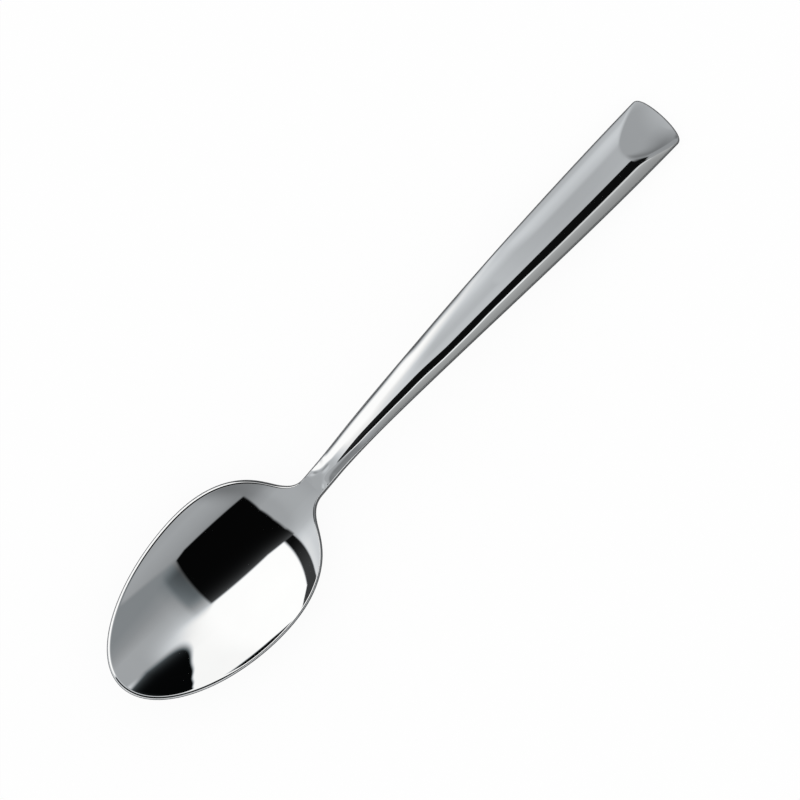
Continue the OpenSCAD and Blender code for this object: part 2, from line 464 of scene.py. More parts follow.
class Graph:
    """A node tree that is wired through plain calls."""

    def __init__(self, tree: bpy.types.NodeTree) -> None:
        """Empty the tree and keep it."""
        self.tree = tree
        tree.nodes.clear()

    @classmethod
    def of_material(cls, name: str) -> tuple[bpy.types.Material, "Graph"]:
        """Start a new material.

        Args:
            name: The material's name.

        Returns:
            The material and its empty graph.
        """
        material = bpy.data.materials.new(name)
        material.use_nodes = True
        return material, cls(material.node_tree)

    def node(
        self,
        kind: str,
        settings: Optional[Mapping[str, Any]] = None,
        inputs: Optional[Mapping[Union[str, int], SocketValue]] = None,
        output: Union[str, int] = 0,
    ) -> "Value":
        """Add a node of any kind.

        Args:
            kind: The node's type.
            settings: Properties to set before anything is linked. A list of stops fills a colour ramp.
            inputs: Values or links by the name or number of the socket.
            output: The socket that the result stands for.

        Returns:
            The output socket, ready for expressions.
        """
        made = self.tree.nodes.new(kind)
        for name, setting in (settings or {}).items():
            if name == "stops":
                self.fill_ramp(made.color_ramp, setting)
            else:
                setattr(made, name, setting)
        for name, value in (inputs or {}).items():
            if isinstance(value, Value):
                self.tree.links.new(value.socket, made.inputs[name])
            else:
                made.inputs[name].default_value = value
        return Value(self, made.outputs[output] if len(made.outputs) else None)

    @staticmethod
    def fill_ramp(ramp: bpy.types.ColorRamp, stops: Sequence[tuple[float, float]]) -> None:
        """Give a ramp grey stops.

        Args:
            ramp: The ramp to fill.
            stops: Places and levels, both from 0 to 1.
        """
        while len(ramp.elements) < len(stops):
            ramp.elements.new(1.0)
        for element, (place, level) in zip(ramp.elements, stops):
            element.position = place
            element.color = (level, level, level, 1.0)

    def math(self, operation: str, *values: SocketValue) -> "Value":
        """Add a Math node for an operation on values."""
        return self.node("ShaderNodeMath", {"operation": operation}, dict(enumerate(values)))

    def over(self, value: "Value", start: float = 0.0) -> "Value":
        """How far a value is past a start, and 0 before it."""
        return self.math("MAXIMUM", value - start if start else value, 0.0)

    def under(self, value: "Value", stop: float) -> "Value":
        """How far a value falls short of a stop, and 0 past it."""
        return self.math("MAXIMUM", stop - value, 0.0)

    def ramp(self, degrees: "Value", stops: Stops) -> "Value":
        """Level that follows a tilt, from -90 to 90 degrees, through stops of a tilt and a level."""
        places = [(tilt / HALF_TURN + 0.5, level / TOP_LEVEL) for tilt, level in stops]
        return TOP_LEVEL * self.node("ShaderNodeValToRGB", {"stops": places}, {0: degrees / HALF_TURN + 0.5})

    def blend(self, low: SocketValue, high: SocketValue, share: "Value") -> "Value":
        """Blend two levels by a share from 0 to 1."""
        return low * (1.0 - share) + high * share

    def tint(self, low: SocketValue, high: SocketValue, share: SocketValue) -> "Value":
        """Blend two colours by a share from 0 to 1."""
        inputs = {"Factor": share, "A": low, "B": high}
        return self.node("ShaderNodeMix", {"data_type": "RGBA"}, inputs, output="Result")

    def step(self, value: SocketValue, edge: Span) -> "Value":
        """Smooth step of a value.

        Args:
            value: The value.
            edge: Where the step is 0 and where it is 1, in either order.

        Returns:
            The height of the step, from 0 to 1.
        """
        flip = edge[0] > edge[1]
        return self.node(
            "ShaderNodeMapRange",
            {"interpolation_type": "SMOOTHSTEP"},
            {"Value": value, "From Min": min(edge), "From Max": max(edge),
             "To Min": float(flip), "To Max": float(not flip)},
        )

    def window(self, value: "Value", edges: tuple[Span, Span]) -> "Value":
        """Smooth step of a value up and down again."""
        return self.step(value, edges[0]) * self.step(value, edges[1])

    def spot(self, x: "Value", y: "Value", size: Span) -> "Value":
        """Soft round spot, 1 where x and y are 0 and 0 past its half width and half height."""
        x, y = x / size[0], y / size[1]
        return self.step(x * x + y * y, (1.0, 0.0))


class Value:
    """A node's output socket with arithmetic on it."""

    def __init__(self, graph: Graph, socket: Optional[bpy.types.NodeSocket]) -> None:
        """Keep the graph and the socket."""
        self.graph = graph
        self.socket = socket

    def __add__(self, other: SocketValue) -> "Value":
        """Sum."""
        return self.graph.math("ADD", self, other)

    __radd__ = __add__

    def __sub__(self, other: SocketValue) -> "Value":
        """Difference."""
        return self.graph.math("SUBTRACT", self, other)

    def __rsub__(self, other: SocketValue) -> "Value":
        """Difference with the sides swapped."""
        return self.graph.math("SUBTRACT", other, self)

    def __mul__(self, other: SocketValue) -> "Value":
        """Product."""
        return self.graph.math("MULTIPLY", self, other)

    __rmul__ = __mul__

    def __truediv__(self, other: SocketValue) -> "Value":
        """Quotient."""
        return self.graph.math("DIVIDE", self, other)


def add_object(maker: bmesh.types.BMesh, name: str, material: bpy.types.Material) -> bpy.types.Object:
    """Turn a finished bmesh into an object of the scene.

    Args:
        maker: The bmesh, which is freed.
        name: Name of the object and its mesh.
        material: What the object is made of.

    Returns:
        The object, linked to the scene.
    """
    mesh = bpy.data.meshes.new(name)
    maker.to_mesh(mesh)
    maker.free()
    mesh.materials.append(material)
    made = bpy.data.objects.new(name, mesh)
    bpy.context.scene.collection.objects.link(made)
    return made


@dataclass(frozen=True)
class PolishedSteel:
    """Mirror-polished stainless steel with faint polishing lines."""

    name: str
    tint: Colour = (0.61, 0.635, 0.655)
    shade: Colour = (0.575, 0.60, 0.62)
    roughness: Span = (0.008, 0.03)
    line_scale: tuple[float, float, float] = (60.0, 4200.0, 4200.0)
    line_detail: float = 3.0
    line_strength: float = 0.02
    line_depth: float = 0.00001
    haze_scale: float = 90.0
    haze_detail: float = 4.0

    def make(self) -> bpy.types.Material:
        """Build the material.

        Returns:
            The material, with its patterns on Object coordinates.
        """
        material, graph = Graph.of_material(self.name)
        place = graph.node("ShaderNodeTexCoord", output="Object")
        along = graph.node("ShaderNodeMapping", inputs={"Vector": place, "Scale": self.line_scale})
        lines = graph.node("ShaderNodeTexNoise", inputs={
            "Vector": along, "Scale": 1.0, "Detail": self.line_detail})
        haze = graph.node("ShaderNodeTexNoise", inputs={
            "Vector": place, "Scale": self.haze_scale, "Detail": self.haze_detail})
        low, high = self.roughness
        rough = low + (high - low) * (0.5 * haze + 0.5 * lines)
        bump = graph.node("ShaderNodeBump", inputs={
            "Strength": self.line_strength, "Distance": self.line_depth, "Height": lines})
        colour = graph.tint((*self.shade, 1.0), (*self.tint, 1.0), haze)
        surface = graph.node("ShaderNodeBsdfPrincipled", inputs={
            "Base Color": colour, "Metallic": 1.0, "Roughness": rough, "Normal": bump})
        graph.node("ShaderNodeOutputMaterial", inputs={"Surface": surface})
        return material


@dataclass(frozen=True)
class SpoonPiece:
    """One length of the spoon's skin, closed at its cuts."""

    name: str
    node: str
    slot: str
    start: float
    stop: float
    slack: float = 1e-6
    weld: float = 1e-8

    def skin(self, form: SpoonForm, plan: RingPlan) -> bmesh.types.BMesh:
        """Wrap a grid around the piece's rings and close its cuts.

        Args:
            form: The spoon's form.
            plan: How finely the skin is divided.

        Returns:
            The closed skin, smooth everywhere but on the cuts.
        """
        low, high = self.start - self.slack, self.stop + self.slack
        rings = [plan.ring(form, s) for s in plan.stations(form) if low <= s <= high]
        along, around = len(rings) - 1, len(rings[0]) - 1
        maker = bmesh.new()
        bmesh.ops.create_grid(maker, x_segments=along, y_segments=around, size=1.0)
        for vertex in maker.verts:
            i = round((vertex.co.x + 1.0) / 2.0 * along)
            j = round((vertex.co.y + 1.0) / 2.0 * around)
            vertex.co = rings[i][j]
        bmesh.ops.remove_doubles(maker, verts=maker.verts, dist=self.weld)
        skin = set(maker.faces)
        open_edges = [edge for edge in maker.edges if edge.is_boundary]
        bmesh.ops.holes_fill(maker, edges=open_edges, sides=0)
        for edge in open_edges:
            edge.smooth = False
        bmesh.ops.recalc_face_normals(maker, faces=maker.faces)
        for face in maker.faces:
            face.smooth = face in skin
        return maker

    def build(self, form: SpoonForm, plan: RingPlan, finish: PolishedSteel) -> bpy.types.Object:
        """Make the piece and dress it.

        Args:
            form: The spoon's form.
            plan: How finely the skin is divided.
            finish: The steel's finish.

        Returns:
            The finished object, riding on the frame.
        """
        piece = add_object(self.skin(form, plan), self.name, finish.make())
        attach(piece, BODY)
        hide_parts(self.node)
        faces = len(piece.data.polygons)
        LOG.info("%s: %d faces from station %.1f to %.1f", self.name, faces, self.start, self.stop)
        return piece


@dataclass(frozen=True)
class Spoon:
    """The whole spoon, cut into its three pieces."""

    form: SpoonForm = SpoonForm()
    plan: RingPlan = RingPlan()

    def build(self) -> dict[str, bpy.types.Object]:
        """Build the pieces in order along the spoon.

        Returns:
            The finished objects by the node that each one replaces.
        """
        form = self.form
        cuts = {"bowl": (0.0, form.bowl_cut), "neck": (form.bowl_cut, form.neck_cut),
                "handle": (form.neck_cut, form.length)}
        made = {}
        for node, (start, stop) in cuts.items():
            piece = SpoonPiece(f"polished_{node}", node, f"{node}_steel", start, stop)
            made[node] = piece.build(form, self.plan, PolishedSteel(f"{node}_mirror_steel"))
        return made


class Ray(Enum):
    """Kinds of ray that the studio answers in different ways."""

    CAMERA = "Is Camera Ray"
    GLOSSY = "Is Glossy Ray"


@dataclass(frozen=True)
class Heading:
    """A direction in a sky, told over the level plane above the spoon."""

    graph: Graph
    across: Value
    back: Value
    up: Value
    tilt: Value

    @classmethod
    def over_plane(cls, graph: Graph, across: Value, back: Value, up: Value) -> "Heading":
        """Work out the tilt towards the left side of the spoon, in degrees, and keep all."""
        return cls(graph, across, back, up, graph.math("ARCTANGENT", back) * math.degrees(1.0))


@dataclass(frozen=True)
class Sky:
    """A dome of soft panels and flags that is mirrored by some of the pieces only.

    Patterns are drawn over the level plane above the spoon: across runs along the spoon towards the
    handle, and back runs towards the left side of the spoon, both as shares of the height. A span is a
    soft edge, and names the place where a form is missing and the place where it is full.
    """

    name: str
    radius: float = 20.0
    divisions: int = 5
    low_sky: float = 0.01
    panel_tint: Colour = (1.0, 0.962, 0.925)
    panel_light: Span = (0.9, 1.5)
    side_tint: Colour = (0.90, 1.0, 1.04)

    def pattern(self, at: Heading) -> Value:
        """Level of the sky in a direction, where 1 is as bright as white paper."""
        raise NotImplementedError

    def side_share(self, at: Heading, level: Value) -> SocketValue:
        """Share of the side tint in a direction."""
        return 0.0

    def material(self) -> bpy.types.Material:
        """Build the dome's material, which adds light and lets rays through.

        Returns:
            The material.
        """
        material, graph = Graph.of_material(self.name)
        material.cycles.emission_sampling = "NONE"
        place = graph.node("ShaderNodeTexCoord", output="Object")
        along, left, up = (
            graph.node("ShaderNodeSeparateXYZ", inputs={0: place}, output=axis) / self.radius
            for axis in "XYZ")
        height = graph.math("MAXIMUM", up, self.low_sky)
        at = Heading.over_plane(graph, along / height, left / height, up)
        level = self.pattern(at)
        colour = graph.tint((*WHITE, 1.0), (*self.panel_tint, 1.0), graph.step(level, self.panel_light))
        colour = graph.tint(colour, (*self.side_tint, 1.0), self.side_share(at, level))
        light = graph.node("ShaderNodeVectorMath", {"operation": "SCALE"}, {0: colour, "Scale": level})
        glow = graph.node("ShaderNodeEmission", inputs={"Color": light, "Strength": 1.0})
        clear = graph.node("ShaderNodeBsdfTransparent")
        surface = graph.node("ShaderNodeAddShader", inputs={0: glow, 1: clear})
        graph.node("ShaderNodeOutputMaterial", inputs={"Surface": surface})
        return material

    def build(self, receivers: Sequence[bpy.types.Object]) -> bpy.types.Object:
        """Make the dome and light only its receivers with it.

        Args:
            receivers: Pieces that mirror this sky.

        Returns:
            The dome.
        """
        maker = bmesh.new()
        bmesh.ops.create_icosphere(maker, subdivisions=self.divisions, radius=self.radius)
        dome = add_object(maker, self.name, self.material())
        dome.visible_camera = False
        dome.visible_diffuse = False
        dome.visible_shadow = False
        dome.visible_transmission = False
        lit = bpy.data.collections.new(f"{self.name}_receivers")
        for piece in receivers:
            lit.objects.link(piece)
        dome.light_linking.receiver_collection = lit
        return dome


@dataclass(frozen=True)
class GreyRoom:
    """Grey room to the right of the panel, as the hollow mirrors it."""

    levels: Stops = (
        (-42.0, 0.37), (-30.0, 0.43), (-18.0, 0.54), (-6.0, 0.675), (0.0, 0.775), (6.0, 0.91),
        (12.0, 1.11), (18.0, 1.28), (24.0, 1.42), (30.0, 1.49), (36.0, 1.52), (40.0, 1.56))
    low_levels: Stops = ((-70.0, 0.53), (-64.0, 0.57), (-57.0, 0.52), (-50.0, 0.46))
    low_slope: float = 0.5
    low_edge: Span = (-0.94, -1.14)
    dim_level: float = 0.575
    dim_across: Span = (0.5, 1.4)
    dim_back: Span = (0.62, 0.36)

    def level(self, at: Heading) -> Value:
        """Level of the room, with a dim end and a low part in front.

        Args:
            at: Direction in the sky.

        Returns:
            The level.
        """
        graph = at.graph
        room = graph.ramp(at.tilt, self.levels)
        dim = graph.step(at.across, self.dim_across) * graph.step(at.back, self.dim_back)
        room = graph.blend(room, graph.math("MINIMUM", room, self.dim_level), dim)
        low = graph.step(at.back + self.low_slope * graph.over(at.across), self.low_edge)
        return graph.blend(room, graph.ramp(at.tilt, self.low_levels), low)


@dataclass(frozen=True)
class WhitePanel:
    """White panel behind the flag and the room beside it, with the flag's soft shade."""

    room: GreyRoom = GreyRoom()
    white: float = 1.66
    soft: Span = (-0.3, 1.0)
    side: Span = (0.8, 0.2)
    blur: float = 0.03
    side_blur: float = 0.15
    side_blur_at: Span = (0.15, 0.35)
    core_shade: float = 0.3
    core_edge: Span = (0.47, 0.37)
    outer_shade: float = 0.43
    outer_edge: Span = (0.62, 0.2)
    shade_back: Span = (0.4, -0.2)
    shade_front: Span = (-1.25, -0.75)

    def level(self, at: Heading, past_flag: Value) -> Value:
        """Level of the panel and the room.

        Args:
            at: Direction in the sky.
            past_flag: Reach past the flag's back edge, where the panel begins.

        Returns:
            The level.
        """
        graph, across, back = at.graph, at.across, at.back
        blur = self.blur + self.side_blur * graph.step(across, self.side_blur_at)
        panel = graph.step(past_flag / blur, self.soft) * graph.step(across, self.side)
        shade = (self.core_shade * graph.step(across, self.core_edge)
                 + self.outer_shade * graph.step(across, self.outer_edge))
        shade = shade * graph.step(back, self.shade_back) * graph.step(back, self.shade_front)
        return graph.blend(self.room.level(at) * (1.0 - shade), self.white, panel)


@dataclass(frozen=True)
class GreyWall:
    """Grey wall to the left of the panel."""

    levels: Stops = (
        (-66.0, 0.26), (-58.0, 0.26), (-50.0, 0.29), (-42.0, 0.35), (-34.0, 0.46), (-24.0, 0.55),
        (14.0, 0.565), (22.0, 0.60), (30.0, 0.675), (38.0, 0.735), (42.0, 0.82), (46.0, 0.91), (54.0, 1.0),
        (62.0, 1.0))
    edge_glow: float = 0.15
    edge_beside: Span = (-0.3, -0.05)
    edge_back: Span = (0.5, 0.9)
    end_glow: float = 0.11
    end_across: Span = (-1.1, -1.35)
    end_back: Span = (0.6, 0.3)

    def level(self, at: Heading, beside: Value) -> Value:
        """Level of the wall, a little brighter along the panel and at its far end.

        Args:
            at: Direction in the sky.
            beside: Reach past the panel's left edge.

        Returns:
            The level.
        """
        graph = at.graph
        edge = self.edge_glow * graph.step(beside, self.edge_beside) * graph.step(at.back, self.edge_back)
        end = self.end_glow * graph.step(at.across, self.end_across) * graph.step(at.back, self.end_back)
        return graph.ramp(at.tilt, self.levels) * (1.0 + edge) * (1.0 + end)


@dataclass(frozen=True)
class PanelFrame:
    """Dark frame along the panel's left edge, which pales as it leaves the flag."""

    levels: Stops = (
        (26.0, 0.005), (38.0, 0.006), (44.0, 0.013), (50.0, 0.026), (58.0, 0.045), (66.0, 0.066))
    left: float = 0.868
    left_slope: float = 0.29
    left_blur: Span = (-0.03, 0.03)
    right: float = 0.725
    right_slope: float = 0.213
    right_blur: Span = (0.03, -0.03)
    bend: float = 0.12
    bend_from: float = 4.1
    start: Span = (0.36, 0.46)
    near_left: float = 0.915
    near_front: float = 0.42
    front_lean: float = 0.2
    back_lean: float = 0.15

    def left_edge(self, at: Heading) -> Value:
        """Where the flag and the panel end on the left, which the frame follows further back.

        Args:
            at: Direction in the sky.

        Returns:
            The reach along the spoon at which they end.
        """
        graph = at.graph
        front = self.front_lean * graph.math("MINIMUM", at.back + self.near_front, 0.0)
        near = front - self.back_lean * graph.over(at.back)
        far = -self.left - self.left_slope * at.back
        return graph.math("MINIMUM", far, near - self.near_left)

    def draw(self, at: Heading, level: Value) -> Value:
        """Add the frame.

        Args:
            at: Direction in the sky.
            level: Level without the frame.

        Returns:
            Level with the frame.
        """
        graph, across, back = at.graph, at.across, at.back
        past_left = graph.step(across + self.left + self.left_slope * back, self.left_blur)
        right = across + self.right + self.right_slope * back - self.bend * graph.over(back, self.bend_from)
        share = past_left * graph.step(right, self.right_blur) * graph.step(back, self.start)
        return graph.blend(level, graph.ramp(at.tilt, self.levels), share)


@dataclass(frozen=True)
class BlackFlag:
    """Black flag in front of the camera, with a faint sheen along its back edge."""

    black: float = BOWL_BLACK
    back: float = 0.265
    back_slope: float = 0.285
    back_bend: float = 0.2
    back_bend_from: float = -0.55
    back_blur: Span = (0.02, -0.03)
    front: float = 1.165
    front_slope: float = 0.12
    front_bend: float = 0.45
    front_blur: Span = (-0.03, 0.03)
    right: float = 0.222
    right_bow: float = 0.05
    right_blur: Span = (0.02, -0.02)
    left_blur: Span = (-0.04, 0.02)
    sheen: float = 0.11
    sheen_run: float = 0.085

    def past(self, at: Heading) -> Value:
        """Reach past the flag's back edge."""
        bend = self.back_bend * at.graph.under(at.across, self.back_bend_from)
        return at.back - (self.back - self.back_slope * at.across + bend)

    def draw(self, at: Heading, level: Value, past: Value, beside: Value) -> Value:
        """Add the flag.

        Args:
            at: Direction in the sky.
            level: Level without the flag.
            past: Reach past the flag's back edge.
            beside: Reach past its left edge.

        Returns:
            Level with the flag.
        """
        graph, across, back = at.graph, at.across, at.back
        front = back + self.front + self.front_slope * across - self.front_bend * graph.over(across)
        right = across - self.right + self.right_bow * back * back
        share = (
            graph.step(beside, self.left_blur) * graph.step(right, self.right_blur)
            * graph.step(past, self.back_blur) * graph.step(front, self.front_blur))
        sheen = graph.math("EXPONENT", graph.math("MINIMUM", past, 0.0) / self.sheen_run)
        return graph.blend(level, self.black + self.sheen * sheen, share)


@dataclass(frozen=True)
class DarkStand:
    """Dark stand with a rounded foot behind the spoon's handle."""

    black: float = BOWL_BLACK
    side: float = 0.36
    lean: float = 0.535
    blur: float = 0.045
    wave: float = 0.012
    wave_rate: float = 7.85
    wave_phase: float = 7.07
    full: Span = (-1.0, 1.0)
    end: Span = (4.5, 2.0)
    foot: float = 0.38
    foot_blur: float = 0.1
    foot_round: float = 12.0
    foot_slope: float = 0.3
    foot_slope_from: float = 1.5
    sheen: float = 0.12
    sheen_at: float = 0.44
    sheen_run: float = 0.09

    def draw(self, at: Heading, level: Value) -> Value:
        """Add the stand.

        Args:
            at: Direction in the sky.
            level: Level without the stand.

        Returns:
            Level with the stand.
        """
        graph, across, back = at.graph, at.across, at.back
        foot = back - self.foot_slope * graph.over(across, self.foot_slope_from)
        wave = self.wave * graph.math("SINE", self.wave_rate * back - self.wave_phase)
        side = (across - self.lean * back - self.side - wave) / self.blur
        inside = graph.math("SMOOTH_MIN", side, (foot - self.foot) / self.foot_blur, self.foot_round)
        share = graph.step(inside, self.full) * graph.step(across, self.end)
        tone = self.black + self.sheen * graph.math("EXPONENT", (self.sheen_at - foot) / self.sheen_run)
        return graph.blend(level, graph.math("MINIMUM", tone, level), share)


@dataclass(frozen=True)
class LowEnds:
    """Light wall low on the left and in front, and the dark end of the room behind."""

    black: float = BOWL_BLACK
    wall: float = 1.3
    wall_front: Span = (-2.4, -3.0)
    wall_across: Span = (-0.3, -0.9)
    wall_left: Span = (-1.7, -2.1)
    wall_back: Span = (1.0, 0.0)
    end_slope: float = 1.8
    end_bend: float = 0.4
    end_edge: Span = (6.2, 6.7)
    end_across: Span = (-1.5, -1.1)
    ground: Span = (-0.02, 0.05)

    def draw(self, at: Heading, level: Value) -> Value:
        """Add both ends.

        Args:
            at: Direction in the sky.
            level: Level without them.

        Returns:
            Level with them, and nothing below the ground.
        """
        graph, across, back = at.graph, at.across, at.back
        wall = graph.math(
            "MAXIMUM", graph.step(back, self.wall_front) * graph.step(across, self.wall_across),
            graph.step(across, self.wall_left) * graph.step(back, self.wall_back))
        level = graph.blend(level, self.wall, wall)
        end = back + self.end_slope * across - self.end_bend * graph.over(across)
        dark = graph.step(end, self.end_edge) * graph.step(across, self.end_across)
        return graph.blend(level, self.black, dark) * graph.step(at.up, self.ground)


@dataclass(frozen=True)
class BowlSky(Sky):
    """What the hollow mirrors: a white panel, a black flag in front of the camera and a dark stand."""

    panel: WhitePanel = WhitePanel()
    wall: GreyWall = GreyWall()
    frame: PanelFrame = PanelFrame()
    flag: BlackFlag = BlackFlag()
    stand: DarkStand = DarkStand()
    ends: LowEnds = LowEnds()
    wall_blur: Span = (-0.02, 0.02)
    soft_wall: Span = (-1.25, -0.7)
    soft_wall_back: Span = (-1.0, -1.2)
    cool_level: Span = (0.5, 0.15)
    cool_at: Span = (0.2, 0.25)

    def side_share(self, at: Heading, level: Value) -> SocketValue:
        """Share of the cool tint, which the dim side of the room has."""
        return at.graph.step(level, self.cool_level) * at.graph.step(at.across, self.cool_at)

    def pattern(self, at: Heading) -> Value:
        """Level of the hollow's sky in a direction.

        Args:
            at: Direction in the sky.

        Returns:
            The level.
        """
        graph = at.graph
        past_flag = self.flag.past(at)
        beside = at.across - self.frame.left_edge(at)
        share = graph.blend(
            graph.step(beside, self.wall_blur), graph.step(at.across, self.soft_wall),
            graph.step(at.back, self.soft_wall_back))
        level = graph.blend(self.wall.level(at, beside), self.panel.level(at, past_flag), share)
        level = self.frame.draw(at, self.stand.draw(at, level))
        return self.ends.draw(at, self.flag.draw(at, level, past_flag, beside))


@dataclass(frozen=True)
class NeckMarks:
    """Dull patch and two small spots over the neck."""

    dull: float = 0.72
    dull_across: Span = (-0.3, -0.7)
    dull_back: Span = (0.32, 0.2)
    dull_shift: float = 0.08
    dull_shift_at: Span = (-0.62, -0.8)
    throat: float = 0.6
    throat_at: Span = (-0.8, -0.95)
    dark: float = 0.25
    dark_across: float = 0.79
    dark_back: float = 0.2
    dark_size: Span = (0.09, 0.09)
    light: float = 0.17
    light_across: float = 0.8
    light_back: float = 0.08
    light_size: Span = (0.1, 0.11)

    def draw(self, at: Heading, level: Value) -> Value:
        """Add the marks.

        Args:
            at: Direction in the sky.
            level: Level without them.

        Returns:
            Level with them.
        """
        graph, across, back = at.graph, at.across, at.back
        shifted = back - self.dull_shift * graph.step(across, self.dull_shift_at)
        share = graph.step(across, self.dull_across) * graph.step(shifted, self.dull_back)
        level = graph.blend(level, self.dull, share)
        level = graph.blend(level, self.throat, graph.step(across, self.throat_at))
        dark = graph.spot(across + self.dark_across, back - self.dark_back, self.dark_size)
        light = graph.spot(across + self.light_across, back - self.light_back, self.light_size)
        return level - self.dark * dark + self.light * light


@dataclass(frozen=True)
class PanelEnd:
    """Bright panel that ends in a grey room, with marks over the neck and a light crease at the fan."""

    marks: NeckMarks = NeckMarks()
    room_levels: Stops = (
        (-10.0, 0.85), (0.0, 0.85), (4.0, 0.82), (8.0, 0.75), (13.0, 0.75), (20.0, 0.815), (24.0, 0.875),
        (28.0, 0.97), (32.0, 1.07))
    room_floor: float = 0.82
    room_floor_at: Span = (0.27, 0.36)
    room_fall: float = 0.34
    room_fall_at: Span = (0.3, 0.58)
    panel_levels: Stops = ((0.0, 1.38), (4.0, 1.38), (10.0, 1.54), (16.0, 1.65))
    end: float = 0.005
    end_slope: float = 0.1
    end_bend: float = 0.5
    end_bend_from: float = 0.3
    end_blur: Span = (-0.13, 0.13)
    crease: float = 0.15
    crease_across: Span = (0.42, 0.47)
    crease_front: Span = (0.3, 0.45)
    crease_back: Span = (0.85, 0.7)

    def level(self, at: Heading) -> Value:
        """Level of the panel and the room.

        Args:
            at: Direction in the sky.

        Returns:
            The level.
        """
        graph, across, back = at.graph, at.across, at.back
        room = graph.ramp(at.tilt, self.room_levels)
        room = graph.math("MAXIMUM", room, self.room_floor * graph.step(across, self.room_floor_at))
        room = room * (1.0 - self.room_fall * graph.step(across, self.room_fall_at))
        bend = self.end_bend * graph.over(back, self.end_bend_from)
        past = graph.step(across + self.end - self.end_slope * back - bend, self.end_blur)
        level = self.marks.draw(at, graph.blend(graph.ramp(at.tilt, self.panel_levels), room, past))
        crease = (graph.step(across, self.crease_across) * graph.step(back, self.crease_front)
                  * graph.step(back, self.crease_back))
        return level + self.crease * crease


@dataclass(frozen=True)
class GreyStrip:
    """Grey strip in front of the black stripe, with a bright line along it and another low over the neck."""

    levels: Stops = ((-34.0, 0.36), (-24.0, 0.51), (-19.0, 0.63))
    neck_levels: Stops = (
        (-24.0, 0.34), (-20.0, 0.31), (-18.5, 0.34), (-16.5, 0.44), (-14.0, 0.56), (-8.0, 0.60))
    neck_at: Span = (-0.2, -0.36)
    end: float = 0.58
    end_at: Span = (-0.72, -0.88)
    line: float = 1.4
    line_below: Span = (-0.045, -0.035)
    line_start: Span = (-0.6, -0.3)
    line_stop: Span = (0.485, 0.465)
    line_fall: float = 0.4
    line_fall_at: Span = (0.38, 0.44)
    low_back: Span = (-0.72, -0.85)
    low_across: Span = (-0.4, -0.6)

    def level(self, at: Heading, below: Value) -> Value:
        """Level of the strip.

        Args:
            at: Direction in the sky.
            below: Reach past the stripe's front edge.

        Returns:
            The level.
        """
        graph, across = at.graph, at.across
        neck = graph.ramp(at.tilt, self.neck_levels)
        strip = graph.blend(graph.ramp(at.tilt, self.levels), neck, graph.step(across, self.neck_at))
        strip = graph.blend(strip, self.end, graph.step(across, self.end_at))
        share = (graph.step(below, self.line_below) * graph.step(across, self.line_start)
                 * graph.step(across, self.line_stop))
        return graph.blend(strip, self.line - self.line_fall * graph.step(across, self.line_fall_at), share)

    def draw_low_line(self, at: Heading, level: Value) -> Value:
        """Add the line that lies low over the neck."""
        share = at.graph.step(at.back, self.low_back) * at.graph.step(at.across, self.low_across)
        return at.graph.blend(level, self.line, share)


@dataclass(frozen=True)
class FanShade:
    """How the fan mirrors the black stripe, which pales from the stripe's tail towards the corner."""

    start: Span = (0.463, 0.48)
    slope: float = 0.5
    front: float = 0.28
    bend: float = 0.3
    bend_from: float = 0.14
    soft: float = 0.55
    soft_back: Span = (0.12, -0.06)
    soft_least: float = 0.2
    soft_across: Span = (0.45, 0.62)
    soft_limit: Span = (0.472, 0.448)
    tail_back: Span = (-0.08, -0.18)
    tail_limit: Span = (0.48, 0.464)
    tail_across: Span = (0.535, 0.505)
    corner: float = 0.2
    corner_back: Span = (-0.03, -0.1)

    def draw(self, at: Heading, share: Value) -> Value:
        """Change the stripe's share on the fan.

        Args:
            at: Direction in the sky.
            share: Share of black on the handle.

        Returns:
            Share of black on the handle and the fan.
        """
        graph, across, back = at.graph, at.across, at.back
        bend = self.bend * graph.math("MAXIMUM", back + self.bend_from, 0.0)
        limit = across - self.slope * (back + self.front) - bend
        reach = self.soft_least + (1.0 - self.soft_least) * graph.step(across, self.soft_across)
        soft = self.soft * graph.step(back, self.soft_back) * reach
        tail = (graph.step(back, self.tail_back) * graph.step(limit, self.tail_limit)
                * graph.step(across, self.tail_across))
        dark = graph.blend(soft * graph.step(limit, self.soft_limit), 1.0, tail)
        dark = graph.math("MAXIMUM", dark, self.corner * graph.step(back, self.corner_back))
        return graph.blend(share, dark, graph.step(across, self.start))


